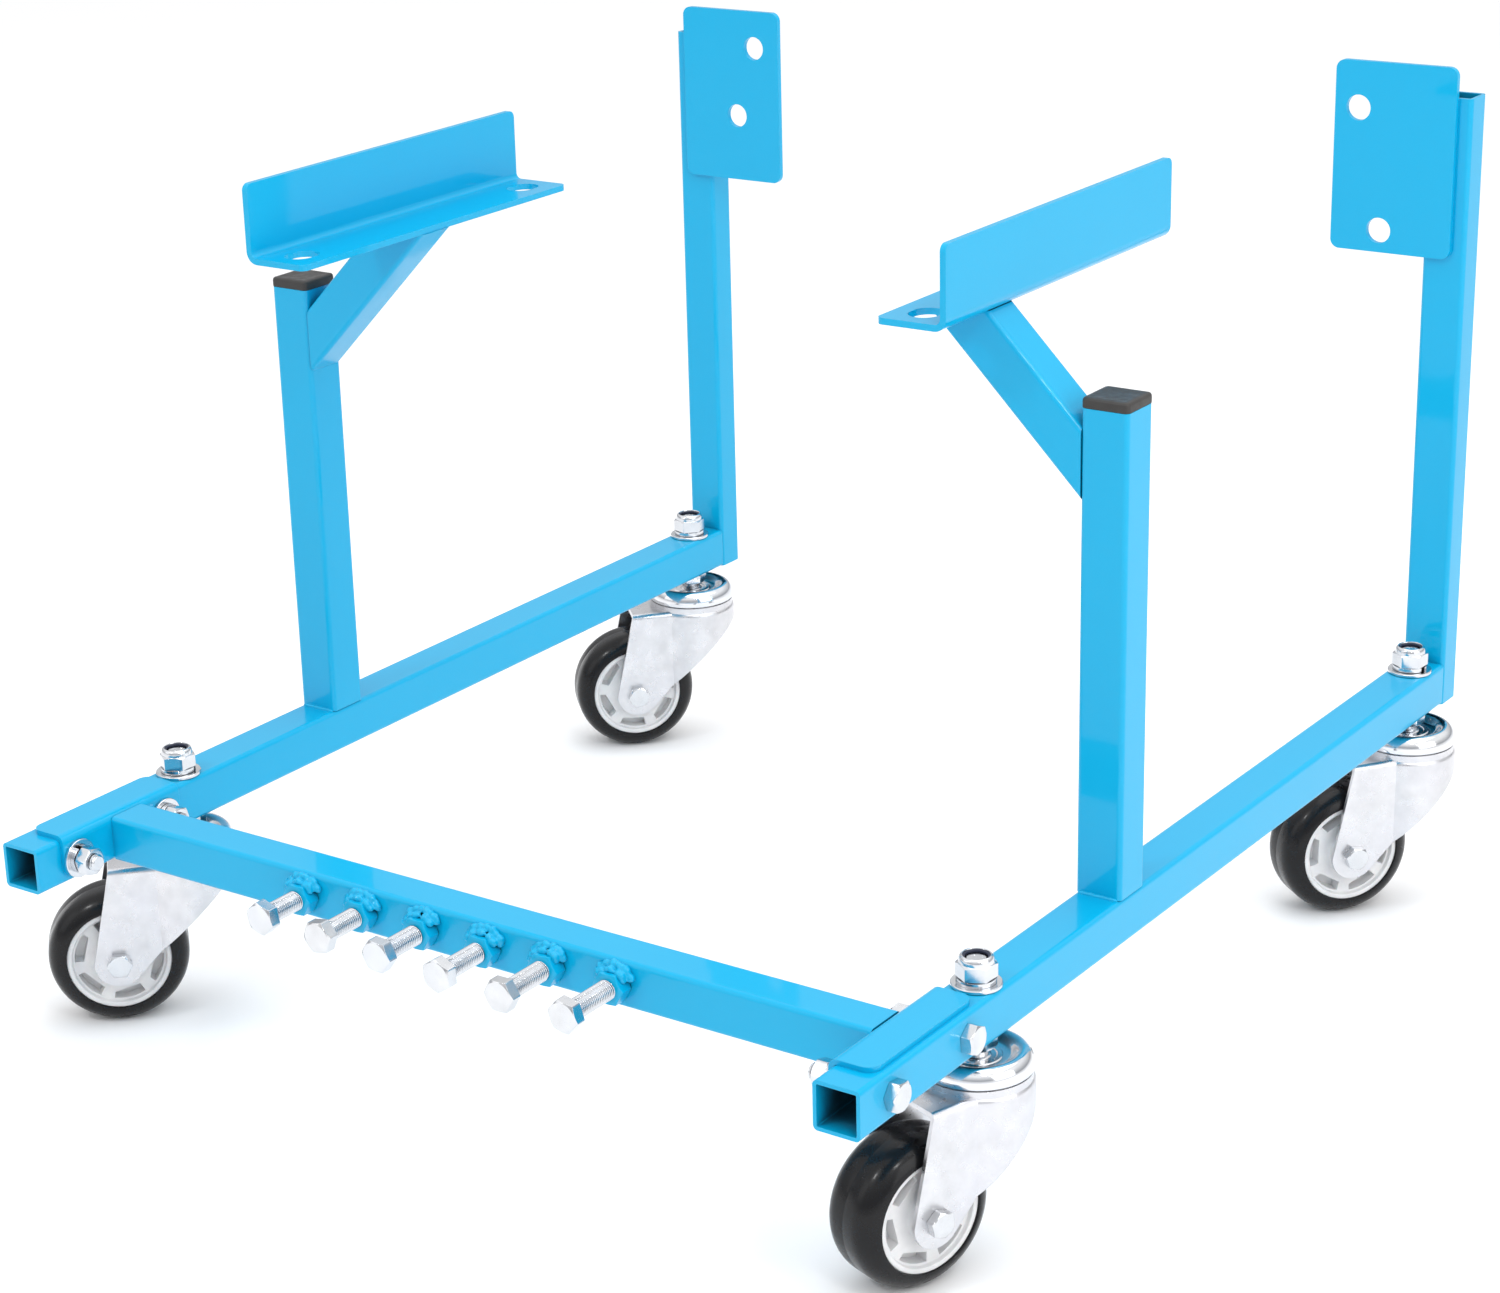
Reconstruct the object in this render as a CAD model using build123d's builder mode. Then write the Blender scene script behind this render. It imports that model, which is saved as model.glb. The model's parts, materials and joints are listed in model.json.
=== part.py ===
"""Engine stand: a bolted and welded cradle of square steel tube on four swivel casters.

Millimetres, +X to the stand's right, +Y to its rear, +Z up.
The origin is at floor level, at the centre of the stand's footprint.
Each piece of the stand is its own solid, written to parts/ under its own name.
"""

import os
from math import cos, radians, sin

from build123d import *

# ---- frame tube -----------------------------------------------------------
TUBE = 38.1
WALL = 3.0
TUBE_CORNER = 4.0
UPRIGHT_DEPTH = 30.0

# ---- overall layout -------------------------------------------------------
MID_X = 27.7             # the casters trail to the left, so the frame stands this far right
RAIL_SPAN = 776.0        # between the centre lines of the two rails
RAIL_LENGTH = 962.0
FRONT_Y = -(RAIL_LENGTH + UPRIGHT_DEPTH) / 2
UPRIGHT_HEIGHT = 540.0
POST_Y = FRONT_Y + 363.0
POST_TOP = 416.5         # above the underside of the rails

# ---- casters --------------------------------------------------------------
WHEEL_RADIUS = 59.5
WHEEL_HALF_WIDTH = 27.5
AXLE_DROP = 116.5        # axle below the underside of the rails
TRAIL = 63.0             # axle behind the swivel axis
CASTERS = {              # side, distance from the rail's front end, swivel angle in degrees
    "front_left": (-1, 184.5, -45.0),
    "front_right": (1, 184.5, -20.0),
    "rear_left": (-1, 932.0, -45.0),
    "rear_right": (1, 932.0, -39.0),
}

FORK_HALF_GAP = 30.5
FORK_SHEET = 3.5
FORK_TOP = -31.0         # fork's flat top below the underside of the rails
FORK_HOLLOW = 29.5       # radius of the recess under the swivel head
HEAD_RADIUS = 43.0
HEAD_SEAT = -26.6        # step under the race cap's edge
HEAD_TOP = -20.5
COLLAR = 10.0            # hexagon on the stem under the rail
CAP_RADIUS = 42.5
CAP_EDGE = -26.0
CAP_RIM = -11.0
CAP_FLOOR = -17.0
CAP_SHEET = 2.5
KINGPIN_RADIUS = 8.0
RUNNING_FIT = 0.05
RACE_RADIUS = 34.5       # upper ring of balls
RACE_BALL = 4.0
RACE_BALL_COUNT = 14
RACE_BALL_Z = CAP_RIM - CAP_SHEET - RACE_BALL
GROOVE_GAP = 0.3
LOWER_RACE_RADIUS = 15.0
LOWER_RACE_BALL = 2.5
LOWER_RACE_BALL_COUNT = 12
KINGPIN_NUT = (-36.0, 5.2, 20.0)     # underside, height and radius
TYRE_SHOULDER = 18.5
TYRE_SEAT = 44.0
CORE_HALF_WIDTH = 25.5
CORE_RIM = 37.0
CORE_SPOKES = 6
HUB_RADIUS = 18.0
HUB_HALF_WIDTH = 29.8
SLEEVE_RADIUS = 8.0
BEARING_RADIUS = 13.0
BEARING_LENGTH = 12.0

RAIL_Z = WHEEL_RADIUS + AXLE_DROP    # underside of the rails above the floor
RAIL_TOP = RAIL_Z + TUBE
SIDES = {"left": -1, "right": 1}
BOLT_CLEARANCE = 0.5

# ---- rear plates for the bell housing -------------------------------------
PLATE_THICKNESS = 5.0
PLATE_WIDTH = 109.0
PLATE_HEIGHT = 163.0
PLATE_INSET = 12.0       # plate's outer edge inside the upright's outer face
PLATE_BOTTOM = 403.0
PLATE_CORNER = 8.0
PLATE_HOLE_RADIUS = 11.0
PLATE_HOLES = {          # distance inside the rail's centre line, height above the rails' underside
    "left": ((74.0, 531.0), (53.5, 465.0)),
    "right": ((80.5, 526.0), (58.0, 422.0)),
}

# ---- slotted angle brackets on the braces ---------------------------------
ANGLE_THICKNESS = 5.0
ANGLE_BOTTOM = 478.0
ANGLE_HEIGHT = 64.0
ANGLE_WIDTH = 59.0
ANGLE_LENGTH = 340.0
ANGLE_OUTER_X = 298.0    # outer face from the stand's mid-plane
ANGLE_FRONT = {"left": 219.5, "right": 294.5}
ANGLE_BEND = 5.0
ANGLE_CORNER = 6.0
SLOT_WIDTH = 24.0
SLOT_LENGTH = 30.0
SLOT_INSET = 28.0        # slot's centre from each end of the bracket
SLOT_X = 265.0
BRACE_FOOT = 374.0       # brace's axis at the post's inner face, above the rails' underside

# ---- crossbar and its end brackets ----------------------------------------
CROSSBAR_Y = FRONT_Y + 99.5
CROSSBAR_RISE = 1.5
SADDLE_THICKNESS = 4.0
SADDLE_FRONT = 26.0
SADDLE_LENGTH = 134.0
SADDLE_INSET = 6.0       # top leg's outer edge inside the rail's outer face
SADDLE_DROP = 33.0       # inner leg's reach below the rail's top
SADDLE_BEND = 3.5
SADDLE_CORNER = 10.0

# ---- fasteners ------------------------------------------------------------
M16_RADIUS = 8.0
M16_FLATS = 24.0
M16_HEAD = 10.0
M16_NUT = 13.0
M14_RADIUS = 7.0
M14_FLATS = 21.0
M14_HEAD = 9.0
M14_NUT = 11.0
M12_RADIUS = 6.0
M12_FLATS = 19.0
M12_HEAD = 7.5
M12_NUT = 10.0
STEM_RADIUS = 9.0
STEM_FLATS = 27.0
WASHER_THICKNESS = 3.0
M14_WASHER_RADIUS = 16.0
M14_SPRING_RADIUS = 12.0
STEM_WASHER_RADIUS = 19.0
STEM_SPRING_RADIUS = 15.0
SPRING_WASHER = 4.0
HEX_CHAMFER = 1.2

SADDLE_BOLTS = (41.0, 141.0)         # from the rails' front ends
RACK_PITCH = 60.3
RACK_COUNT = 6
RACK_FIRST_X = -155.5
RACK_HEIGHT = 20.0
RACK_STICK_OUT = 32.0                # first bolt's bare thread in front of its nut
RACK_STEP = 2.4                      # each next bolt is screwed in this much less
RACK_BOLT_LENGTH = 70.0
BOLT_TIP = 5.0                       # thread standing out of a tightened nut
TIP_CHAMFER = 1.5

os.makedirs("parts", exist_ok=True)


def save(piece, name):
    """Names a finished piece and writes it."""
    piece.part.label = name
    export_step(piece.part, f"parts/{name}.step")


def along_x(x, y, z, side=1):
    """Plane whose normal points along +X, or along -X when side is -1."""
    return Plane(origin=(x, y, z), x_dir=(0, 1, 0), z_dir=(side, 0, 0))


def along_y(x, y, z):
    """Plane whose normal points along +Y, with its own x along +X."""
    return Plane(origin=(x, y, z), x_dir=(1, 0, 0), z_dir=(0, 1, 0))


def along_z(x, y, z):
    """Plane whose normal points up."""
    return Plane(origin=(x, y, z), x_dir=(1, 0, 0), z_dir=(0, 0, 1))


def rail_x(side):
    """X of a rail's centre line."""
    return MID_X + side * RAIL_SPAN / 2


def square_tube(plane, width, depth, length):
    """Adds a hollow rounded tube to the part in hand, drawn on a plane and run along its normal."""
    with BuildSketch(plane) as section:
        RectangleRounded(width, depth, TUBE_CORNER)
        RectangleRounded(width - 2 * WALL, depth - 2 * WALL, TUBE_CORNER - WALL, mode=Mode.SUBTRACT)
    extrude(section.sketch, amount=length)


def bore(plane, radius, length):
    """Cuts a round hole along a plane's normal."""
    with BuildSketch(plane) as circle:
        Circle(radius)
    extrude(circle.sketch, amount=length, mode=Mode.SUBTRACT)


def round_bar(plane, radius, length):
    """Adds a round bar along a plane's normal."""
    with BuildSketch(plane) as circle:
        Circle(radius)
    extrude(circle.sketch, amount=length)


def hexagon(plane, flats, height):
    """Adds a hexagonal prism along a plane's normal, its far corners turned down to a cone."""
    with BuildSketch(plane) as six_sides:
        RegularPolygon(flats / 2, 6, major_radius=False)
    prism = extrude(six_sides.sketch, amount=height, mode=Mode.PRIVATE)
    with BuildSketch(plane) as circle:
        Circle(flats / 2 + 2.5 * HEX_CHAMFER)
    disc = extrude(circle.sketch, amount=height, mode=Mode.PRIVATE)
    far_face = disc.faces().sort_by_distance(plane.offset(height).origin)[0]
    far_rim = far_face.edges()[0]
    add(prism & disc.chamfer(2.5 * HEX_CHAMFER, HEX_CHAMFER, [far_rim], far_face))


def washer(plane, outer, inner, height):
    """Adds a flat ring along a plane's normal."""
    with BuildSketch(plane) as ring:
        Circle(outer)
        Circle(inner, mode=Mode.SUBTRACT)
    extrude(ring.sketch, amount=height)


def nut(plane, flats, radius, height):
    """Adds a hexagon nut that seats on a plane, with its threaded hole."""
    hexagon(plane, flats, height)
    bore(plane, radius, height)


def bolt(plane, radius, flats, head, length):
    """Adds a hexagon bolt: its head stands on a plane and its shank runs the other way."""
    hexagon(plane, flats, head)
    back = Plane(origin=plane.origin, x_dir=plane.x_dir, z_dir=-plane.z_dir)
    round_bar(back, radius, length - TIP_CHAMFER)
    with BuildSketch(back.offset(length - TIP_CHAMFER)) as tip:
        Circle(radius)
    extrude(tip.sketch, amount=TIP_CHAMFER, taper=45)


# ---- side rails -----------------------------------------------------------
for name, side in SIDES.items():
    with BuildPart() as rail:
        square_tube(along_y(rail_x(side), FRONT_Y, RAIL_Z + TUBE / 2), TUBE, TUBE, RAIL_LENGTH)
        for setback in SADDLE_BOLTS:
            across = along_x(rail_x(side) - TUBE, FRONT_Y + setback, RAIL_Z + TUBE / 2)
            bore(across, M14_RADIUS + BOLT_CLEARANCE, 2 * TUBE)
        for corner_side, setback, _ in CASTERS.values():
            if corner_side == side:
                upward = along_z(rail_x(side), FRONT_Y + setback, RAIL_Z)
                bore(upward, STEM_RADIUS + BOLT_CLEARANCE, TUBE)
    save(rail, f"{name}_rail")

# ---- rear uprights --------------------------------------------------------
upright_y = FRONT_Y + RAIL_LENGTH + UPRIGHT_DEPTH / 2
for name, side in SIDES.items():
    with BuildPart() as upright:
        square_tube(along_z(rail_x(side), upright_y, RAIL_Z), TUBE, UPRIGHT_DEPTH, UPRIGHT_HEIGHT)
    save(upright, f"{name}_upright")

# ---- bell housing plates, welded on the uprights' front faces -------------
plate_face = FRONT_Y + RAIL_LENGTH - PLATE_THICKNESS
for name, side in SIDES.items():
    outer_edge = rail_x(side) + side * (TUBE / 2 - PLATE_INSET)
    plate_x = outer_edge - side * PLATE_WIDTH / 2
    plate_z = RAIL_Z + PLATE_BOTTOM + PLATE_HEIGHT / 2
    with BuildPart() as bell_plate:
        with BuildSketch(along_y(plate_x, plate_face, plate_z)):
            RectangleRounded(PLATE_WIDTH, PLATE_HEIGHT, PLATE_CORNER)
        extrude(amount=PLATE_THICKNESS)
        for inset, height in PLATE_HOLES[name]:
            hole = along_y(rail_x(side) - side * inset, plate_face, RAIL_Z + height)
            bore(hole, PLATE_HOLE_RADIUS, PLATE_THICKNESS)
    save(bell_plate, f"{name}_bell_plate")

# ---- middle posts with their plastic caps ---------------------------------
CAP_FLANGE = 8.0
CAP_LIP = 0.3
CAP_EDGE_RADIUS = 3.0
PLUG_DEPTH = 16.0
PLUG_WALL_GAP = 1.5
FIN_COUNT = 3
FIN_THICKNESS = 1.5
post_centre_y = POST_Y + TUBE / 2
tube_hollow = TUBE - 2 * WALL
for name, side in SIDES.items():
    with BuildPart() as post:
        square_tube(along_z(rail_x(side), post_centre_y, RAIL_TOP), TUBE, TUBE, POST_TOP - TUBE)
    save(post, f"{name}_post")

    with BuildPart() as post_cap:
        post_end = along_z(rail_x(side), post_centre_y, RAIL_Z + POST_TOP)
        with BuildSketch(post_end):
            RectangleRounded(TUBE + 2 * CAP_LIP, TUBE + 2 * CAP_LIP, TUBE_CORNER)
        extrude(amount=CAP_FLANGE)
        fillet(post_cap.faces().sort_by(Axis.Z)[-1].edges(), CAP_EDGE_RADIUS)
        with BuildSketch(post_end):
            Rectangle(tube_hollow - 2 * PLUG_WALL_GAP, tube_hollow - 2 * PLUG_WALL_GAP)
        extrude(amount=-PLUG_DEPTH)
        for fin in range(FIN_COUNT):
            with BuildSketch(post_end.offset(-PLUG_DEPTH * (fin + 0.5) / FIN_COUNT)):
                RectangleRounded(tube_hollow, tube_hollow, TUBE_CORNER - WALL)
            extrude(amount=FIN_THICKNESS)
    save(post_cap, f"{name}_post_cap")

# ---- braces, rising inwards from the posts at 45 degrees ------------------
BRACE_REACH = 250.0
for name, side in SIDES.items():
    post_face = rail_x(side) - side * TUBE / 2
    foot = (post_face + side * TUBE, post_centre_y, RAIL_Z + BRACE_FOOT - TUBE)
    with BuildPart() as brace:
        along_brace = Plane(origin=foot, x_dir=(0, 1, 0), z_dir=(-side, 0, 1))
        square_tube(along_brace, TUBE, TUBE, BRACE_REACH)
        split(bisect_by=along_x(post_face, 0, 0, -side), keep=Keep.TOP)
        split(bisect_by=along_z(0, 0, RAIL_Z + ANGLE_BOTTOM), keep=Keep.BOTTOM)
    save(brace, f"{name}_brace")

# ---- slotted angle brackets on top of the braces --------------------------
for name, side in SIDES.items():
    corner_x = MID_X + side * ANGLE_OUTER_X
    bottom = RAIL_Z + ANGLE_BOTTOM
    toe_x = corner_x - side * ANGLE_WIDTH
    web_x = corner_x - side * ANGLE_THICKNESS
    with BuildPart() as angle_bracket:
        with BuildSketch(Plane.XZ.offset(-FRONT_Y - ANGLE_FRONT[name])):
            with BuildLine():
                Polyline(
                    (toe_x, bottom),
                    (corner_x, bottom),
                    (corner_x, bottom + ANGLE_HEIGHT),
                    (web_x, bottom + ANGLE_HEIGHT),
                    (web_x, bottom + ANGLE_THICKNESS),
                    (toe_x, bottom + ANGLE_THICKNESS),
                    close=True,
                )
            make_face()
        extrude(amount=-ANGLE_LENGTH)
        bends = angle_bracket.edges().filter_by(Axis.Y)
        outer_bend = bends.sort_by_distance((corner_x, 0, bottom))[0]
        inner_bend = bends.sort_by_distance((web_x, 0, bottom + ANGLE_THICKNESS))[0]
        fillet(outer_bend, ANGLE_BEND + ANGLE_THICKNESS)
        fillet(inner_bend, ANGLE_BEND)
        upright_edges = angle_bracket.edges().filter_by(Axis.Z)
        toe_corners = upright_edges.filter_by_position(Axis.X, toe_x - 1, toe_x + 1)
        fillet(toe_corners, ANGLE_CORNER)
        top_corners = angle_bracket.edges().filter_by(Axis.X).group_by(Axis.Z)[-1]
        fillet(top_corners, ANGLE_CORNER)
        slot_y = FRONT_Y + ANGLE_FRONT[name] + ANGLE_LENGTH / 2
        with BuildSketch(along_z(MID_X + side * SLOT_X, slot_y, bottom)):
            with GridLocations(0, ANGLE_LENGTH - 2 * SLOT_INSET, 1, 2):
                SlotOverall(SLOT_LENGTH, SLOT_WIDTH, rotation=90)
        extrude(amount=ANGLE_THICKNESS, mode=Mode.SUBTRACT)
    save(angle_bracket, f"{name}_angle_bracket")

# ---- crossbar -------------------------------------------------------------
saddle_face = RAIL_SPAN / 2 - TUBE / 2 - SADDLE_THICKNESS
crossbar_z = RAIL_Z + CROSSBAR_RISE + TUBE / 2
crossbar_front = CROSSBAR_Y - TUBE / 2
rack_z = RAIL_Z + RACK_HEIGHT
rack_x = [MID_X + RACK_FIRST_X + RACK_PITCH * place for place in range(RACK_COUNT)]
with BuildPart() as crossbar:
    square_tube(along_x(MID_X - saddle_face, CROSSBAR_Y, crossbar_z), TUBE, TUBE, 2 * saddle_face)
    for x in rack_x:
        bore(along_y(x, crossbar_front, rack_z), M16_RADIUS + BOLT_CLEARANCE, TUBE / 2)
save(crossbar, "crossbar")

# ---- folded brackets that carry the crossbar on the rails -----------------
for name, side in SIDES.items():
    inner_x = rail_x(side) - side * TUBE / 2
    leg_x = inner_x - side * SADDLE_THICKNESS
    outer_x = rail_x(side) + side * (TUBE / 2 - SADDLE_INSET)
    lower_z = RAIL_TOP - SADDLE_DROP
    upper_z = RAIL_TOP + SADDLE_THICKNESS
    with BuildPart() as saddle:
        with BuildSketch(Plane.XZ.offset(-FRONT_Y - SADDLE_FRONT)):
            with BuildLine():
                Polyline(
                    (inner_x, lower_z),
                    (inner_x, RAIL_TOP),
                    (outer_x, RAIL_TOP),
                    (outer_x, upper_z),
                    (leg_x, upper_z),
                    (leg_x, lower_z),
                    close=True,
                )
            make_face()
        extrude(amount=-SADDLE_LENGTH)
        bends = saddle.edges().filter_by(Axis.Y)
        outer_bend = bends.sort_by_distance((leg_x, 0, upper_z))[0]
        inner_bend = bends.sort_by_distance((inner_x, 0, RAIL_TOP))[0]
        fillet(outer_bend, SADDLE_BEND + SADDLE_THICKNESS)
        fillet(inner_bend, SADDLE_BEND)
        ends = saddle.edges().filter_by(Axis.Z).filter_by_position(Axis.X, outer_x - 1, outer_x + 1)
        fillet(ends, SADDLE_CORNER)
        ends = saddle.edges().filter_by(Axis.X).group_by(Axis.Z)[0]
        fillet(ends, SADDLE_CORNER)
        for setback in SADDLE_BOLTS:
            across = along_x(inner_x, FRONT_Y + setback, RAIL_Z + TUBE / 2, -side)
            bore(across, M14_RADIUS + BOLT_CLEARANCE, SADDLE_THICKNESS)
    save(saddle, f"{name}_crossbar_bracket")

# ---- bolts that hold the crossbar brackets to the rails -------------------
clamp = TUBE + SADDLE_THICKNESS + WASHER_THICKNESS + SPRING_WASHER + M14_NUT
saddle_spots = [(side, FRONT_Y + setback) for side in SIDES.values() for setback in SADDLE_BOLTS]
bolt_z = RAIL_Z + TUBE / 2


def saddle_plane(side, y, depth):
    """Plane facing inwards, a given depth inside a rail's inner face."""
    return along_x(rail_x(side) - side * (TUBE / 2 + depth), y, bolt_z, -side)


with BuildPart() as crossbar_bolts:
    for side, y in saddle_spots:
        outer_face = along_x(rail_x(side) + side * TUBE / 2, y, bolt_z, side)
        bolt(outer_face, M14_RADIUS, M14_FLATS, M14_HEAD, clamp + BOLT_TIP)
save(crossbar_bolts, "crossbar_bolts")

with BuildPart() as crossbar_bolt_washers:
    for side, y in saddle_spots:
        seat = saddle_plane(side, y, SADDLE_THICKNESS)
        washer(seat, M14_WASHER_RADIUS, M14_RADIUS + BOLT_CLEARANCE, WASHER_THICKNESS)
save(crossbar_bolt_washers, "crossbar_bolt_washers")

with BuildPart() as crossbar_bolt_spring_washers:
    for side, y in saddle_spots:
        seat = saddle_plane(side, y, SADDLE_THICKNESS + WASHER_THICKNESS)
        washer(seat, M14_SPRING_RADIUS, M14_RADIUS + BOLT_CLEARANCE, SPRING_WASHER)
save(crossbar_bolt_spring_washers, "crossbar_bolt_spring_washers")

with BuildPart() as crossbar_bolt_nuts:
    for side, y in saddle_spots:
        seat = saddle_plane(side, y, SADDLE_THICKNESS + WASHER_THICKNESS + SPRING_WASHER)
        nut(seat, M14_FLATS, M14_RADIUS, M14_NUT)
save(crossbar_bolt_nuts, "crossbar_bolt_nuts")

# ---- spare mounting bolts, kept in nuts welded to the crossbar ------------
with BuildPart() as rack_nuts:
    for x in rack_x:
        nut(along_y(x, crossbar_front - M16_NUT, rack_z), M16_FLATS, M16_RADIUS, M16_NUT)
save(rack_nuts, "rack_nuts")

with BuildPart() as rack_bolts:
    for place, x in enumerate(rack_x):
        head_y = crossbar_front - M16_NUT - RACK_STICK_OUT - RACK_STEP * place
        under_head = Plane(origin=(x, head_y, rack_z), x_dir=(1, 0, 0), z_dir=(0, -1, 0))
        bolt(under_head, M16_RADIUS, M16_FLATS, M16_HEAD, RACK_BOLT_LENGTH)
save(rack_bolts, "rack_bolts")

# ---- casters --------------------------------------------------------------
STEM_NUT = 14.0
NUT_COLLAR = 3.0
STEM_RECESS = 3.0        # the stem ends this far below the top of its lock nut
NUT_COLLAR_RADIUS = 12.5
INSERT_RADIUS = 11.0
NECK_RADIUS = 11.0
UPRIGHT_SPIN = Plane(origin=(0, 0, 0), x_dir=(0, 0, 1), z_dir=(0, 1, 0))


def caster_place(side, setback, angle):
    """Where a caster stands: under its rail, turned so that its wheel trails to local -Y."""
    heading = (cos(radians(angle)), sin(radians(angle)), 0)
    where = Plane(origin=(rail_x(side), FRONT_Y + setback, RAIL_Z), x_dir=heading, z_dir=(0, 0, 1))
    return where.location


def on_caster(place, plane):
    """A plane given in a caster's own frame, moved to where that caster stands."""
    return Plane(place * plane.location)


def level(place, height):
    """Level plane of a caster, a given height above the underside of the rail."""
    return on_caster(place, Plane.XY.offset(height))


def axle_face(place, x, side=1):
    """Plane across a caster's axle, at a distance from the wheel's middle."""
    return on_caster(place, along_x(x, -TRAIL, -AXLE_DROP, side))


def along_axle(place):
    """Plane whose own x runs along a caster's axle, with its origin at the wheel's middle."""
    return on_caster(place, along_z(0, -TRAIL, -AXLE_DROP))


def spin_upright(place, points):
    """Adds a ring turned about a caster's stem from (height, radius) points."""
    plane = on_caster(place, UPRIGHT_SPIN)
    with BuildSketch(plane) as section:
        with BuildLine():
            Polyline(*points, close=True)
        make_face()
    revolve(section.sketch, axis=Axis(plane.origin, plane.x_dir))


places = {name: caster_place(*spot) for name, spot in CASTERS.items()}
stem_top = TUBE + WASHER_THICKNESS + SPRING_WASHER + STEM_NUT + NUT_COLLAR - STEM_RECESS

with BuildPart() as caster_stems:
    for place in places.values():
        round_bar(level(place, 0), STEM_RADIUS, stem_top)
        hexagon(level(place, -COLLAR), STEM_FLATS, COLLAR)
        round_bar(level(place, CAP_FLOOR), NECK_RADIUS, -CAP_FLOOR - COLLAR)
        kingpin_foot = KINGPIN_NUT[0] - TIP_CHAMFER
        round_bar(level(place, kingpin_foot), KINGPIN_RADIUS, CAP_FLOOR - kingpin_foot)
save(caster_stems, "caster_stems")

with BuildPart() as stem_washers:
    for place in places.values():
        washer(level(place, TUBE), STEM_WASHER_RADIUS, STEM_RADIUS + BOLT_CLEARANCE, WASHER_THICKNESS)
save(stem_washers, "stem_washers")

with BuildPart() as stem_spring_washers:
    for place in places.values():
        seat = level(place, TUBE + WASHER_THICKNESS)
        washer(seat, STEM_SPRING_RADIUS, STEM_RADIUS + BOLT_CLEARANCE, SPRING_WASHER)
save(stem_spring_washers, "stem_spring_washers")

with BuildPart() as stem_lock_nuts:
    for place in places.values():
        seat = level(place, TUBE + WASHER_THICKNESS + SPRING_WASHER)
        nut(seat, STEM_FLATS, STEM_RADIUS, STEM_NUT)
        washer(seat.offset(STEM_NUT), NUT_COLLAR_RADIUS, INSERT_RADIUS, NUT_COLLAR)
save(stem_lock_nuts, "stem_lock_nuts")

with BuildPart() as stem_lock_nut_inserts:
    for place in places.values():
        seat = level(place, TUBE + WASHER_THICKNESS + SPRING_WASHER + STEM_NUT)
        washer(seat, INSERT_RADIUS, STEM_RADIUS, NUT_COLLAR)
save(stem_lock_nut_inserts, "stem_lock_nut_inserts")

# Pressed cap over the upper ring of balls: a dished floor, a raised rim and a skirt.
CAP_DISH_RADIUS = 22.0
CAP_CREST = (32.0, 36.0)      # flat ring on top of the rim
CAP_CREST_FOOT = 29.0
CAP_CREST_INSIDE = 36.5       # clears the ball race
CAP_SHOULDER = (39.5, 2.0)    # radius, and drop below the rim
CAP_SKIRT = (41.8, 6.0)
cap_inside = CAP_RIM - CAP_SHEET
cap_outer = [
    (CAP_FLOOR, KINGPIN_RADIUS),
    (CAP_FLOOR, CAP_DISH_RADIUS),
    (CAP_RIM - CAP_SHOULDER[1], CAP_CREST_FOOT),
    (CAP_RIM, CAP_CREST[0]),
    (CAP_RIM, CAP_CREST[1]),
    (CAP_RIM - CAP_SHOULDER[1], CAP_SHOULDER[0]),
    (CAP_RIM - CAP_SKIRT[1], CAP_SKIRT[0]),
    (CAP_EDGE, CAP_RADIUS),
]
cap_inner = [
    (CAP_EDGE, CAP_RADIUS - CAP_SHEET),
    (CAP_RIM - CAP_SKIRT[1], CAP_SKIRT[0] - CAP_SHEET),
    (cap_inside, CAP_CREST_INSIDE),
    (cap_inside, CAP_CREST[0]),
    (CAP_FLOOR - CAP_SHEET, CAP_DISH_RADIUS + CAP_SHEET),
    (CAP_FLOOR - CAP_SHEET, KINGPIN_RADIUS),
]
with BuildPart() as caster_race_caps:
    for place in places.values():
        spin_upright(place, cap_outer + cap_inner)
save(caster_race_caps, "caster_race_caps")

with BuildPart() as caster_kingpin_nuts:
    for place in places.values():
        under, height, radius = KINGPIN_NUT
        washer(level(place, under), radius, KINGPIN_RADIUS, height)
save(caster_kingpin_nuts, "caster_kingpin_nuts")

with BuildPart() as swivel_bearing_balls:
    lower_ball_z = KINGPIN_NUT[0] + KINGPIN_NUT[1] + LOWER_RACE_BALL
    for place in places.values():
        with Locations(place * Pos(0, 0, RACE_BALL_Z)):
            with PolarLocations(RACE_RADIUS, RACE_BALL_COUNT):
                Sphere(RACE_BALL)
        with Locations(place * Pos(0, 0, lower_ball_z)):
            with PolarLocations(LOWER_RACE_RADIUS, LOWER_RACE_BALL_COUNT):
                Sphere(LOWER_RACE_BALL)
save(swivel_bearing_balls, "swivel_bearing_balls")

# Fork: a round head over two side walls in one drawn sheet. Seen from above, the walls run straight
# along the wheel and then follow the head round; seen from the side, they are cut back to the axle.
FORK_FOLD = 5.0
FORK_FRONT = 65.5
FORK_HEEL = -42.0        # where the cut starts behind the head
FORK_CUT_MIDDLE = (-2.0, -84.0)
FOOT_RADIUS = 21.0
RING_RADIUS = 41.5       # step that the race cap's edge covers
BED_RADIUS = 39.5
HEAD_THICKNESS = 5.0


def fork_plan(half_width, head_radius):
    """Fork's outline from above, as a sketch: straight sides open to the front and a round head."""
    with BuildSketch() as plan:
        Rectangle(2 * half_width, 2 * TRAIL, align=(Align.CENTER, Align.MAX))
        Circle(head_radius)
    return plan.sketch


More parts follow.
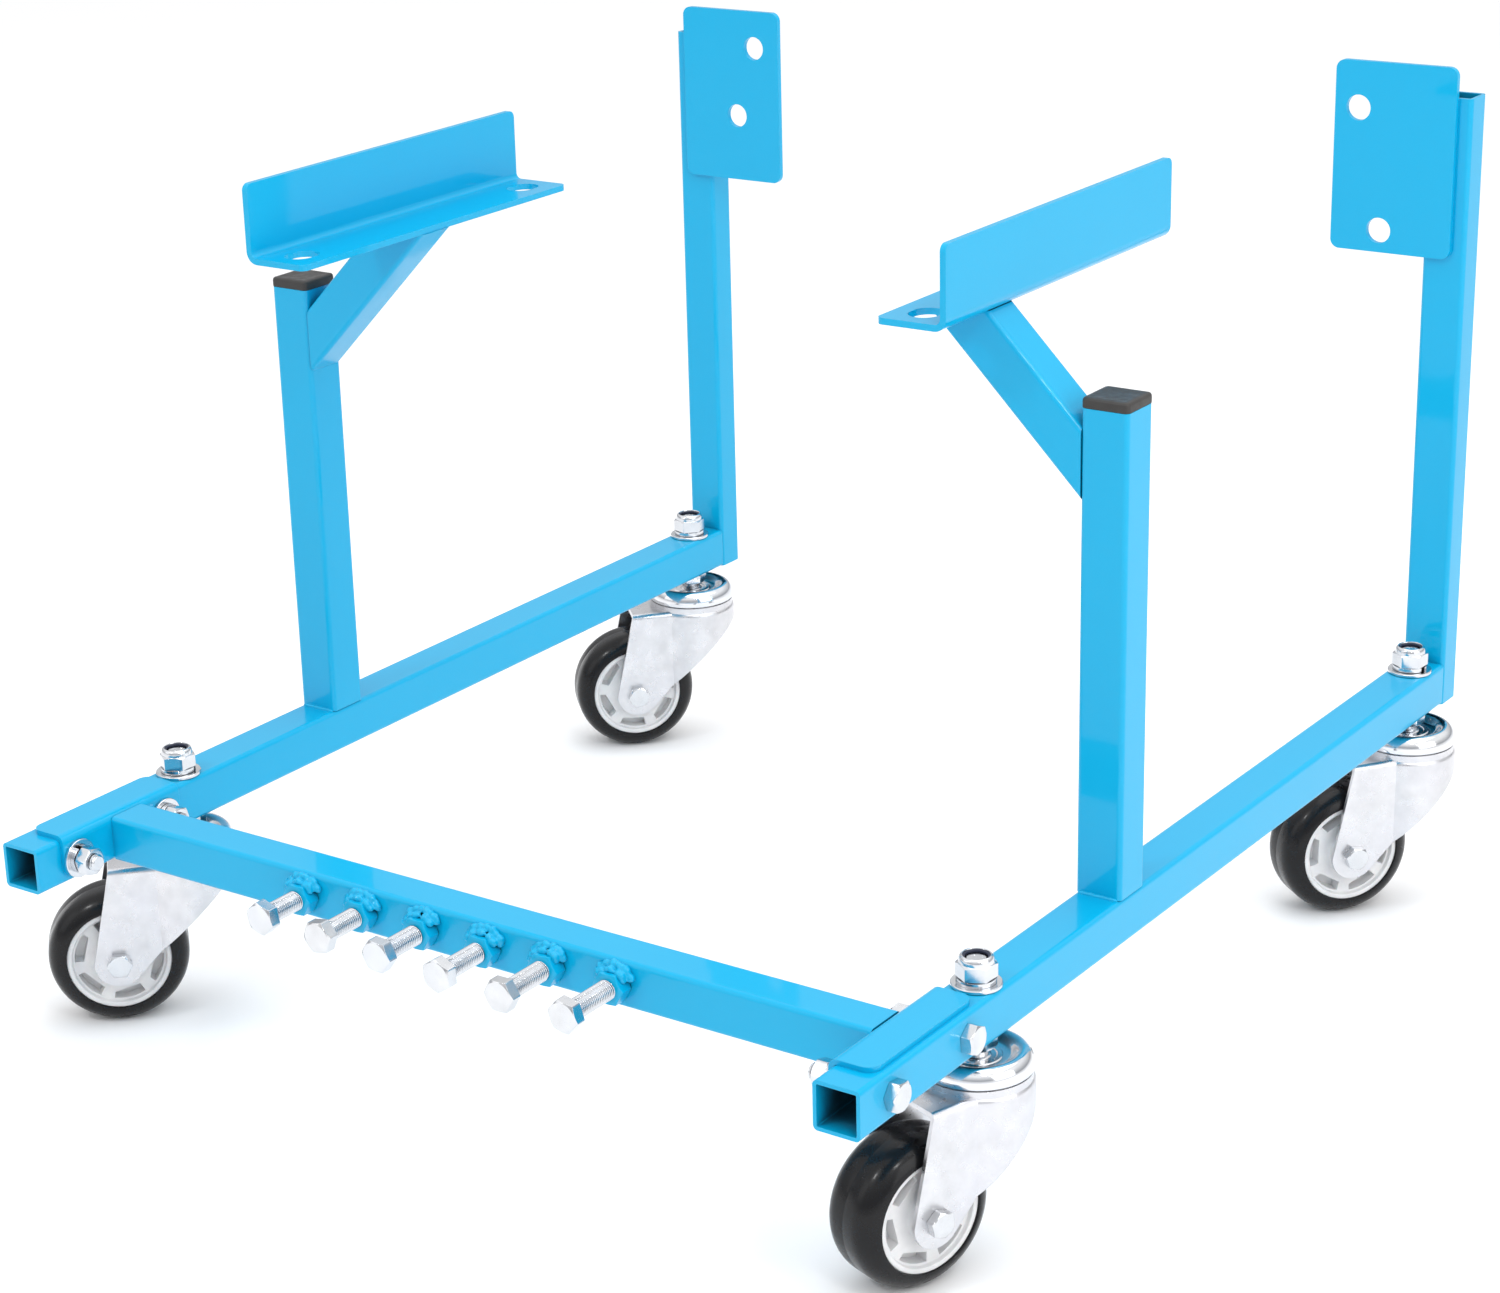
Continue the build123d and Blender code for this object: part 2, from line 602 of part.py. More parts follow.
def build_fork(place):
    """One caster's fork."""
    outer = FORK_HALF_GAP + FORK_SHEET
    behind = HEAD_RADIUS + FORK_SHEET
    foot_reach = FOOT_RADIUS * cos(radians(45))
    foot_front = (-TRAIL - FOOT_RADIUS, -AXLE_DROP)
    foot_low = (-TRAIL, -AXLE_DROP - FOOT_RADIUS)
    foot_back = (-TRAIL + foot_reach, -AXLE_DROP - foot_reach)
    with BuildPart() as fork:
        with BuildSketch(level(place, FORK_TOP)) as plan:
            add(fork_plan(outer, HEAD_RADIUS))
        extrude(plan.sketch, amount=-2 * AXLE_DROP)
        fillet(fork.faces().sort_by(Axis.Z)[-1].edges(), FORK_FOLD)
        with BuildSketch(level(place, FORK_TOP - FORK_SHEET)) as inner_plan:
            add(fork_plan(FORK_HALF_GAP, HEAD_RADIUS - FORK_SHEET))
        extrude(inner_plan.sketch, amount=-2 * AXLE_DROP, mode=Mode.SUBTRACT)
        with BuildSketch(on_caster(place, Plane.YZ)) as outline:
            with BuildLine():
                Polyline((behind, FORK_HEEL), (behind, FORK_TOP), (-FORK_FRONT, FORK_TOP), foot_front)
                ThreePointArc(foot_front, foot_low, foot_back)
                ThreePointArc(foot_back, FORK_CUT_MIDDLE, (behind, FORK_HEEL))
            make_face()
        extrude(outline.sketch, amount=2 * HEAD_RADIUS, both=True, mode=Mode.INTERSECT)
        spin_upright(place, [
            (FORK_TOP - FORK_SHEET, 0),
            (FORK_TOP - FORK_SHEET, RING_RADIUS),
            (HEAD_SEAT, RING_RADIUS),
            (HEAD_SEAT, BED_RADIUS),
            (HEAD_TOP, BED_RADIUS),
            (HEAD_TOP, 0),
        ])
        hollow_floor = HEAD_TOP - HEAD_THICKNESS
        bore(level(place, hollow_floor - 2 * TUBE), FORK_HOLLOW, 2 * TUBE)
        bore(level(place, hollow_floor), KINGPIN_RADIUS + RUNNING_FIT, -hollow_floor)
        with BuildSketch(on_caster(place, UPRIGHT_SPIN)) as groove:
            with Locations((RACE_BALL_Z, RACE_RADIUS)):
                Circle(RACE_BALL + GROOVE_GAP)
        revolve(groove.sketch, axis=Axis(level(place, 0).origin, (0, 0, 1)), mode=Mode.SUBTRACT)
        bore(axle_face(place, -2 * outer), M12_RADIUS + BOLT_CLEARANCE / 2, 4 * outer)
    return fork


def build_tyre(place):
    """One wheel's rubber tyre, round across the tread."""
    plane = along_axle(place)
    with BuildPart() as tyre:
        with BuildSketch(plane) as section:
            with Locations((0, WHEEL_RADIUS - TYRE_SHOULDER)):
                SlotCenterToCenter(2 * (WHEEL_HALF_WIDTH - TYRE_SHOULDER), 2 * TYRE_SHOULDER)
            Rectangle(WHEEL_RADIUS, 2 * TYRE_SEAT, mode=Mode.SUBTRACT)
        revolve(section.sketch, axis=Axis(plane.origin, plane.x_dir))
    return tyre


CORE_WEB = 10.0
CORE_RIB = 4.0
CORE_RIB_INSET = 3.0
CORE_OVERLAP = 1.0       # how far the web and ribs run into the rim and hub


def build_core(place):
    """One wheel's moulded core: rim, web, hub and ribs, with a seat for a bearing at each end."""
    plane = along_axle(place)
    rim_depth = TYRE_SEAT - CORE_RIM
    with BuildPart() as core:
        with BuildSketch(plane) as section:
            with Locations((0, CORE_RIM + rim_depth / 2)):
                Rectangle(2 * CORE_HALF_WIDTH, rim_depth)
            with Locations((0, (CORE_RIM + HUB_RADIUS) / 2)):
                Rectangle(CORE_WEB, CORE_RIM - HUB_RADIUS + 2 * CORE_OVERLAP)
            with Locations((0, (BEARING_RADIUS + HUB_RADIUS) / 2)):
                Rectangle(2 * HUB_HALF_WIDTH, HUB_RADIUS - BEARING_RADIUS)
        revolve(section.sketch, axis=Axis(plane.origin, plane.x_dir))
        rib_half_width = CORE_HALF_WIDTH - CORE_RIB_INSET
        with BuildSketch(axle_face(place, -rib_half_width)) as ribs:
            with PolarLocations((CORE_RIM + HUB_RADIUS) / 2, CORE_SPOKES):
                Rectangle(CORE_RIM - HUB_RADIUS + 2 * CORE_OVERLAP, CORE_RIB)
        extrude(ribs.sketch, amount=2 * rib_half_width)
    return core


for name, place in places.items():
    save(build_fork(place), f"{name}_fork")

    with BuildPart() as axle_bolt:
        grip = 2 * (FORK_HALF_GAP + FORK_SHEET)
        head_face = axle_face(place, grip / 2)
        bolt(head_face, M12_RADIUS, M12_FLATS, M12_HEAD, grip + M12_NUT + BOLT_TIP)
    save(axle_bolt, f"{name}_axle_bolt")

    with BuildPart() as axle_nut:
        nut(axle_face(place, -grip / 2, -1), M12_FLATS, M12_RADIUS, M12_NUT)
    save(axle_nut, f"{name}_axle_nut")

    with BuildPart() as axle_sleeve:
        sleeve_end = axle_face(place, -FORK_HALF_GAP)
        washer(sleeve_end, SLEEVE_RADIUS, M12_RADIUS + BOLT_CLEARANCE / 2, 2 * FORK_HALF_GAP)
    save(axle_sleeve, f"{name}_axle_sleeve")

    with BuildPart() as wheel_bearings:
        for end in (-1, 1):
            seat = axle_face(place, end * (HUB_HALF_WIDTH - BEARING_LENGTH), end)
            washer(seat, BEARING_RADIUS, SLEEVE_RADIUS + RUNNING_FIT, BEARING_LENGTH)
    save(wheel_bearings, f"{name}_wheel_bearings")

    save(build_core(place), f"{name}_wheel_core")
    save(build_tyre(place), f"{name}_tyre")
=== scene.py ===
"""Looks of the engine stand: painted square-tube frame, zinc fasteners and four swivel casters.

Places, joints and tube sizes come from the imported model. The finer shapes of fasteners, casters
and caps are drawn here in millimetres, in small frames of their own, at the CAD's sizes.
"""

import json
import math

import bmesh
import bpy
from mathutils import Matrix, Vector, noise


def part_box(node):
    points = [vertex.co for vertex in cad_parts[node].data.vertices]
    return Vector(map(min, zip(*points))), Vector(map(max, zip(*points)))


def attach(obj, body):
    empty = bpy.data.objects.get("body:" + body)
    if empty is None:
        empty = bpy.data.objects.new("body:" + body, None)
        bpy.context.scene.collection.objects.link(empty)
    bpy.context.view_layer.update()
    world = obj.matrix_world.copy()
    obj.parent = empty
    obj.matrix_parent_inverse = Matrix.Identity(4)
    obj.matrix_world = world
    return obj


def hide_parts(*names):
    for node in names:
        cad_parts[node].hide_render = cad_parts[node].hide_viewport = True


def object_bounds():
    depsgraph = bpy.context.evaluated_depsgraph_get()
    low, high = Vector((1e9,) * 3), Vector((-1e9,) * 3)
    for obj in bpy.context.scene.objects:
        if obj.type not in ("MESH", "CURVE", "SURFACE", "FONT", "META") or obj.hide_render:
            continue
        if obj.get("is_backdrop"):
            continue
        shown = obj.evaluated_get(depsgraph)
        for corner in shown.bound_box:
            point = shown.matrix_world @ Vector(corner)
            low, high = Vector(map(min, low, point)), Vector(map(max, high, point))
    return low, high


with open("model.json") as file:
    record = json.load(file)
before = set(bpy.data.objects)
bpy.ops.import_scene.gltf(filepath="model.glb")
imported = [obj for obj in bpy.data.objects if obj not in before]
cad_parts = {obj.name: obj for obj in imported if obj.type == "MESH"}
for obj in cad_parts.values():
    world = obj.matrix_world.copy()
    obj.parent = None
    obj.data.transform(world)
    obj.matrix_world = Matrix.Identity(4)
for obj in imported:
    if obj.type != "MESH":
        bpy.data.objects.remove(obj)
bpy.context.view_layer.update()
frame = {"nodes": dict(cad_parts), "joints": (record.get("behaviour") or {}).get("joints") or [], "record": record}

MM = 0.001
UP = Vector((0, 0, 1))
SIDES = ("left", "right")
CORNERS = ("front_left", "front_right", "rear_left", "rear_right")

# Fasteners, in millimetres: thread radius and pitch, width across flats.
M16 = {"radius": 8.0, "pitch": 2.0, "flats": 24.0, "head": 10.0, "nut": 13.0}
M14 = {"radius": 7.0, "pitch": 2.0, "flats": 21.0, "head": 9.0, "nut": 11.0}
M12 = {"radius": 6.0, "pitch": 1.75, "flats": 19.0, "head": 7.5, "nut": 10.0}
M18 = {"radius": 9.0, "pitch": 2.5, "flats": 27.0, "nut": 14.0, "collar": 10.0}
CORNER_RATIO = 1 / math.cos(math.pi / 6)
RACK_COUNT = 6
RACK_STEP = 2.4
FORK_OUTER = 34.0

# Angles, in degrees, above which an edge stays sharp.
CUT_CREASE = 22.0
ROLLED_CREASE = 24.0
WELD_CREASE = 80.0


# ---- materials ------------------------------------------------------------
class Look:
    """A material's node tree, with short calls for what the finishes here need."""

    def __init__(self, name, color, **shader_values):
        self.material = bpy.data.materials.new(name)
        self.material.use_nodes = True
        self.nodes = self.material.node_tree.nodes
        self.links = self.material.node_tree.links
        self.shader = self.nodes["Principled BSDF"]
        self.shader.inputs["Base Color"].default_value = (*color, 1)
        for key, value in shader_values.items():
            self.shader.inputs[key.replace("_", " ")].default_value = value
        self.place = self.nodes.new("ShaderNodeTexCoord").outputs["Object"]

    def link(self, source, target):
        self.links.new(source, target)

    def noise(self, scale, detail=3.0, roughness=0.55, stretch=None):
        """Noise in the object's own space; stretch squeezes it along X, Y and Z."""
        texture = self.nodes.new("ShaderNodeTexNoise")
        texture.inputs["Scale"].default_value = scale
        texture.inputs["Detail"].default_value = detail
        texture.inputs["Roughness"].default_value = roughness
        source = self.place
        if stretch:
            mapping = self.nodes.new("ShaderNodeMapping")
            mapping.inputs["Scale"].default_value = stretch
            self.link(source, mapping.inputs["Vector"])
            source = mapping.outputs["Vector"]
        self.link(source, texture.inputs["Vector"])
        return texture.outputs["Fac"]

    def spread(self, value, low, high, start=0.3, end=0.7):
        """A value between start and end, spread to run from low to high."""
        node = self.nodes.new("ShaderNodeMapRange")
        node.inputs["From Min"].default_value = start
        node.inputs["From Max"].default_value = end
        node.inputs["To Min"].default_value = low
        node.inputs["To Max"].default_value = high
        self.link(value, node.inputs["Value"])
        return node.outputs["Result"]

    def mix(self, factor, first, second):
        """Colour between two colours or sockets."""
        node = self.nodes.new("ShaderNodeMix")
        node.data_type = "RGBA"
        self.link(factor, node.inputs["Factor"])
        for socket, value in ((node.inputs[6], first), (node.inputs[7], second)):
            if isinstance(value, tuple):
                socket.default_value = (*value, 1)
            else:
                self.link(value, socket)
        return node.outputs[2]

    def edges(self, radius):
        """Mask that is 1 on the object's edges, within a radius in metres."""
        bevel = self.nodes.new("ShaderNodeBevel")
        bevel.samples = 4
        bevel.inputs["Radius"].default_value = radius
        geometry = self.nodes.new("ShaderNodeNewGeometry")
        dot = self.nodes.new("ShaderNodeVectorMath")
        dot.operation = "DOT_PRODUCT"
        self.link(bevel.outputs["Normal"], dot.inputs[0])
        self.link(geometry.outputs["True Normal"], dot.inputs[1])
        return self.spread(dot.outputs["Value"], 1.0, 0.0, 0.9, 1.0)

    def openness(self, reach):
        """1 where the surface is open, 0 deep inside a tube or a tight gap; the finishes use it as a mask for
        painted shade.
        """
        hidden = self.nodes.new("ShaderNodeAmbientOcclusion")
        hidden.samples = 8
        hidden.inputs["Distance"].default_value = reach
        return self.spread(hidden.outputs["AO"], 0.0, 1.0, 0.10, 0.42)

    def bump(self, height, strength, distance, under=None):
        """Bump from a height, on top of another bump if one is given."""
        node = self.nodes.new("ShaderNodeBump")
        node.inputs["Strength"].default_value = strength
        node.inputs["Distance"].default_value = distance
        self.link(height, node.inputs["Height"])
        if under:
            self.link(under, node.inputs["Normal"])
        self.link(node.outputs["Normal"], self.shader.inputs["Normal"])

    def rounding(self, radius):
        """Normal that rounds sharp edges off in shading."""
        bevel = self.nodes.new("ShaderNodeBevel")
        bevel.samples = 4
        bevel.inputs["Radius"].default_value = radius
        return bevel.outputs["Normal"]

    def set(self, name, source):
        self.link(source, self.shader.inputs[name])


def blue_paint():
    """Glossy sky-blue enamel: slight shade changes, orange peel, a painted highlight on its edges and painted
    shade deep in tubes and gaps.
    """
    look = Look("blue_paint", (0.0, 0.34, 0.63), Roughness=0.3, Coat_Weight=0.45, Coat_Roughness=0.05)
    look.shader.inputs["Specular IOR Level"].default_value = 0.12
    shade = look.mix(look.noise(7.0), (0.0, 0.350, 0.610), (0.0, 0.368, 0.635))
    # Edges get a lighter blue: a painted highlight.
    edge_highlight = look.edges(0.0012)
    edged = look.mix(look.spread(edge_highlight, 0.0, 0.45, 0.0, 1.0), shade, (0.03, 0.50, 0.80))
    # Nearly black deep inside the tubes, in tight gaps and between weld lumps: partly the tubes' dark unpainted
    # inside, partly painted shade.
    look.set("Base Color", look.mix(look.openness(0.045), (0.012, 0.016, 0.020), edged))
    look.set("Roughness", look.spread(look.noise(14.0, 1.0), 0.27, 0.33, 0.0, 1.0))
    smooth = look.rounding(0.0008)
    look.bump(look.noise(300.0, 1.0), 0.05, 0.0002, smooth)
    return look.material


def zinc(name, color, roughness, tint, grain):
    """Zinc plate: a metal with cloudy brightness, a faint tint, fine scratches and painted shade in tight gaps."""
    look = Look(name, color, Metallic=1.0, Roughness=roughness)
    cloudy = look.mix(look.spread(look.noise(60.0, 5.0), 0.0, 1.0), color, tuple(0.86 * c for c in color))
    plated = look.mix(look.spread(look.noise(16.0, 2.0), 0.0, 0.5, 0.45, 0.75), cloudy, tint)
    # Thread roots, tight gaps and the insides of holes go darker: painted shade.
    look.set("Base Color", look.mix(look.openness(0.006), tuple(0.30 * c for c in color), plated))
    look.set("Roughness", look.spread(look.noise(90.0, 5.0), 0.7 * roughness, 1.4 * roughness))
    scratches = look.noise(grain, 6.0, 0.7, (1.0, 0.12, 1.0))
    look.bump(scratches, 0.04, 0.0003, look.rounding(0.0004))
    return look.material


def rubber():
    """Polished black tyre rubber with faint moulding grain and thin patches of dust."""
    look = Look("tyre_rubber", (0.011, 0.011, 0.012), Roughness=0.25, Coat_Weight=0.15,
                Coat_Roughness=0.10)
    look.shader.inputs["Specular IOR Level"].default_value = 0.18
    dust = look.spread(look.noise(38.0, 6.0), 0.0, 0.5, 0.5, 0.8)
    look.set("Base Color", look.mix(dust, (0.006, 0.006, 0.007), (0.014, 0.013, 0.013)))
    look.set("Roughness", look.spread(look.noise(70.0, 4.0), 0.20, 0.36))
    look.bump(look.noise(650.0, 3.0), 0.12, 0.0003)
    return look.material


def nylon():
    """Off-white moulded wheel core with slightly greyer clouds."""
    look = Look("wheel_nylon", (0.74, 0.75, 0.74), Roughness=0.38)
    look.shader.inputs["Subsurface Weight"].default_value = 0.05
    look.shader.inputs["Subsurface Scale"].default_value = 0.002
    cloud = look.spread(look.noise(55.0, 4.0), 0.0, 1.0)
    look.set("Base Color", look.mix(cloud, (0.72, 0.72, 0.72), (0.62, 0.62, 0.63)))
    look.set("Roughness", look.spread(look.noise(120.0, 3.0), 0.30, 0.45))
    look.bump(look.noise(800.0, 2.0), 0.10, 0.0002)
    return look.material


def plastic(name, dark, light, roughness):
    """Moulded plastic with a fine spark-eroded texture and lighter scuffed edges."""
    look = Look(name, dark, Roughness=roughness)
    look.shader.inputs["Specular IOR Level"].default_value = 0.3
    shade = look.mix(look.noise(60.0, 4.0), dark, light)
    edge = look.spread(look.edges(0.0008), 0.0, 0.5, 0.0, 1.0)
    look.set("Base Color", look.mix(edge, shade, tuple(1.8 * c for c in light)))
    look.set("Roughness", look.spread(look.noise(150.0, 3.0), 0.8 * roughness, 1.2 * roughness))
    look.bump(look.noise(1500.0, 2.0), 0.25, 0.0002)
    return look.material


LOOKS = {
    "blue_paint": blue_paint(),
    "zinc_hardware": zinc("zinc_hardware", (0.71, 0.72, 0.74), 0.17, (0.66, 0.70, 0.76), 500.0),
    "bright_zinc": zinc("bright_zinc", (0.80, 0.81, 0.83), 0.11, (0.70, 0.76, 0.86), 350.0),
    "zinc_fork": zinc("zinc_fork", (0.70, 0.70, 0.72), 0.30, (0.66, 0.66, 0.71), 260.0),
    "bearing_steel": zinc("bearing_steel", (0.62, 0.63, 0.65), 0.15, (0.58, 0.60, 0.64), 700.0),
    "tyre_rubber": rubber(),
    "wheel_nylon": nylon(),
    "cap_plastic": plastic("cap_plastic", (0.030, 0.028, 0.027), (0.045, 0.042, 0.040), 0.42),
    "insert_nylon": plastic("insert_nylon", (0.012, 0.016, 0.035), (0.025, 0.030, 0.055), 0.35),
}


# ---- shapes: lists of points and faces in a small frame, in millimetres -----
def grid_faces(rows, columns, close_rows=False, close_columns=True):
    """Quads over points listed column by column, each column with the same number of rows."""
    faces = []
    for c in range(columns if close_columns else columns - 1):
        after = (c + 1) % columns
        for r in range(rows if close_rows else rows - 1):
            up = (r + 1) % rows
            faces.append((c * rows + r, after * rows + r, after * rows + up, c * rows + up))
    return faces


def lathe(profile, segments=72):
    """Closed ring or solid turned about Z from (height, radius) points."""
    points = []
    for s in range(segments):
        angle = 2 * math.pi * s / segments
        points += [(r * math.cos(angle), r * math.sin(angle), z) for z, r in profile]
    return points, grid_faces(len(profile), segments, close_rows=True)


def hexagon(flats, height, hole=0.0, both_ends=False):
    """Hexagon with its corners turned down to a 30 degree cone at the top, or at both ends."""
    segments = 96
    apothem = flats / 2
    flat_radius = 0.94 * apothem
    columns = []
    for s in range(segments):
        angle = 2 * math.pi * s / segments
        offset = angle % (math.pi / 3) - math.pi / 6
        reach = min(apothem / math.cos(offset), apothem * CORNER_RATIO - 0.15)
        drop = (reach - flat_radius) * math.tan(math.pi / 6)
        rows = [(0.0, hole), (0.0, flat_radius if both_ends else reach - 0.2)]
        rows += [(drop if both_ends else 0.2, reach), (height - drop, reach), (height, flat_radius)]
        rows += [(height, hole)]
        columns += [(r * math.cos(angle), r * math.sin(angle), z) for z, r in rows]
    return columns, grid_faces(len(rows), segments, close_rows=True)


def thread(length, radius, pitch, chamfer):
    """Threaded rod from 0 to length: the crest runs round as one helix, and the tip is tapered."""
    segments = 28
    steps = ((0.0, 0.0), (0.22, 0.0), (0.55, 1.0), (0.68, 1.0))
    depth = 0.6134 * pitch
    turns = math.ceil(length / pitch) + 2
    rows = turns * len(steps)
    points = []
    for s in range(segments):
        angle = 2 * math.pi * s / segments
        for row in range(rows):
            phase, crest = steps[row % len(steps)]
            z = (row // len(steps) + phase + s / segments - 1) * pitch
            z = min(max(z, 0.0), length)
            r = radius - depth * (1 - crest)
            if z <= 0.0:
                r = radius - depth
            r = min(r, radius - chamfer + (length - z))
            points.append((r * math.cos(angle), r * math.sin(angle), z))
    faces = grid_faces(rows, segments, close_columns=False)
    last = (segments - 1) * rows
    for row in range(rows - len(steps) - 1):
        faces.append((last + row, row + len(steps), row + len(steps) + 1, last + row + 1))
    for side in (0, rows - 1):
        ring = [s * rows + side for s in range(segments)]
        faces.append(ring if side else ring[::-1])
    return points, faces


def split_ring(inner, outer, height, gap=0.16, rise=0.5):
    """Spring washer: a ring of square wire, cut once, with its ends a little apart in height."""
    segments = 60
    points = []
    for s in range(segments + 1):
        part = s / segments
        angle = gap + (2 * math.pi - 2 * gap) * part
        low = rise * part
        top = low + height - rise
        for r, z in ((inner, low), (outer, low), (outer, top), (inner, top)):
            points.append((r * math.cos(angle), r * math.sin(angle), z))
    faces = grid_faces(4, segments + 1, close_rows=True, close_columns=False)
    end = segments * 4
    return points, faces + [(0, 1, 2, 3), (end + 3, end + 2, end + 1, end)]


def bevelled_ring(inner, outer, height, edge=0.4):
    """Flat washer with its rims eased."""
    profile = [
        (edge, inner), (0.0, inner + edge), (0.0, outer - edge), (edge, outer),
        (height - edge, outer), (height, outer - edge), (height, inner + edge), (height - edge, inner),
    ]
    return lathe(profile)


def moved(shape, matrix):
    """Shape placed by a matrix in millimetres."""
    points, faces = shape
    return [tuple(matrix @ Vector(p)) for p in points], faces


def joined(shapes):
    """Several shapes as one."""
    points, faces = [], []
    for more_points, more_faces in shapes:
        start = len(points)
        points += more_points
        faces += [tuple(start + i for i in face) for face in more_faces]
    return points, faces


def stand_at(origin, z_axis, x_axis=None):
    """Matrix in millimetres whose Z runs along z_axis from an origin given in millimetres."""
    z = Vector(z_axis).normalized()
    x = Vector(x_axis) if x_axis else (UP if abs(z.z) < 0.9 else Vector((1, 0, 0)))
    y = z.cross(x).normalized()
    matrix = Matrix((y.cross(z), y, z)).transposed().to_4x4()
    matrix.translation = Vector(origin)
    return matrix


def build(name, shape, body, slot, replaces=(), crease=35.0):
    """Makes a mesh piece of a shape in millimetres, rides it on a body and gives it its finish."""
    mesh = bpy.data.meshes.new(name)
    points, faces = shape
    mesh.from_pydata([tuple(MM * c for c in p) for p in points], [], faces)
    work = bmesh.new()
    work.from_mesh(mesh)
    bmesh.ops.remove_doubles(work, verts=work.verts, dist=2e-6)
    bmesh.ops.dissolve_degenerate(work, edges=work.edges, dist=1e-7)
    bmesh.ops.recalc_face_normals(work, faces=work.faces)
    work.to_mesh(mesh)
    work.free()
    mesh.shade_smooth()
    mesh.set_sharp_from_angle(angle=math.radians(crease))
    mesh.materials.append(LOOKS[slot])
    piece = bpy.data.objects.new(name, mesh)
    bpy.context.scene.collection.objects.link(piece)
    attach(piece, body)
    if replaces:
        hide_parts(*replaces)
    return piece


def box_mm(node):
    """A CAD node's lowest and highest corners in millimetres."""
    low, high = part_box(node)
    return Vector(low) / MM, Vector(high) / MM


# ---- CAD nodes keep their shape and take the finish of their slot ----------
SLOT_OF = {row["node"]: row["material_slot"] for row in frame["record"]["subparts"]}
for node, thing in frame["nodes"].items():
    look = LOOKS[SLOT_OF[node]]
    if not thing.data.materials:
        thing.data.materials.append(look)
    for index in range(len(thing.material_slots)):
        thing.material_slots[index].material = look


# ---- where things are, from the frame --------------------------------------
rail_low, rail_high = box_mm("right_rail")
left_low, left_high = box_mm("left_rail")
RAIL_X = {"left": (left_low.x + left_high.x) / 2, "right": (rail_low.x + rail_high.x) / 2}
SIGN = {"left": -1, "right": 1}
rail_top = rail_high.z
tube = rail_high.z - rail_low.z


def joint(name):
    return next(j for j in frame["joints"] if j["name"] == name)


class Caster:
    """Where a caster's swivel axis and axle run."""

    def __init__(self, corner):
        self.name = corner
        self.swivel = f"{corner}_swivel"
        self.wheel = f"{corner}_wheel"
        self.stem = Vector(joint(f"{corner}_swivel_turn")["pos_m"]) / MM
        roll = joint(f"{corner}_wheel_roll")
        self.hub = Vector(roll["pos_m"]) / MM
        self.axle = Vector(roll["axis"])

    def upright(self, height):
        """Matrix on the stem, a height above the underside of the rail."""
        return stand_at(self.stem + UP * height, UP, self.axle)

    def along_axle(self, distance, turn=0.0, outward=1):
        """Matrix whose Z runs along the axle, at a distance from the wheel's middle."""
        spin = Matrix.Rotation(turn, 4, "Z")
        return stand_at(self.hub + self.axle * distance, self.axle * outward) @ spin


casters = [Caster(corner) for corner in CORNERS]


# ---- bolts, nuts and washers -----------------------------------------------
def bolt(size, length, chamfer=1.5):
    """Hexagon bolt: the head stands up from 0 and the threaded shank hangs down."""
    head = hexagon(size["flats"], size["head"])
    upside_down = Matrix.Rotation(math.pi, 4, "X")
    shank = moved(thread(length, size["radius"], size["pitch"], chamfer), upside_down)
    return joined([head, shank])


def nut(size, height):
    """Hexagon nut standing up from 0."""
    return hexagon(size["flats"], height, size["radius"] - 0.6, both_ends=True)


def turned(matrix, degrees):
    return matrix @ Matrix.Rotation(math.radians(degrees), 4, "Z")


nuts_low, nuts_high = box_mm("rack_nuts")
bolts_low, bolts_high = box_mm("rack_bolts")
corner_width = M16["flats"] * CORNER_RATIO
first_x = nuts_low.x + corner_width / 2
pitch_x = (nuts_high.x - nuts_low.x - corner_width) / (RACK_COUNT - 1)
rack_x = [first_x + pitch_x * i for i in range(RACK_COUNT)]
rack_z = (nuts_low.z + nuts_high.z) / 2
last_head = bolts_low.y + M16["head"]
rack_length = bolts_high.y - (last_head + RACK_STEP * (RACK_COUNT - 1))
RACK_TURNS = (12.0, 40.0, 25.0, 3.0, 31.0, 19.0)

shapes = []
for i, x in enumerate(rack_x):
    head_y = last_head + RACK_STEP * (RACK_COUNT - 1 - i)
    place = stand_at((x, head_y, rack_z), (0, -1, 0))
    shapes.append(moved(bolt(M16, rack_length), turned(place, RACK_TURNS[i])))
build("rack_bolts_threaded", joined(shapes), "frame", "zinc_hardware", ["rack_bolts"], CUT_CREASE)

shapes = []
for x in rack_x:
    place = stand_at((x, nuts_high.y, rack_z), (0, -1, 0))
    shapes.append(moved(nut(M16, nuts_high.y - nuts_low.y), turned(place, 30)))
build("rack_nuts_welded", joined(shapes), "frame", "blue_paint", ["rack_nuts"])

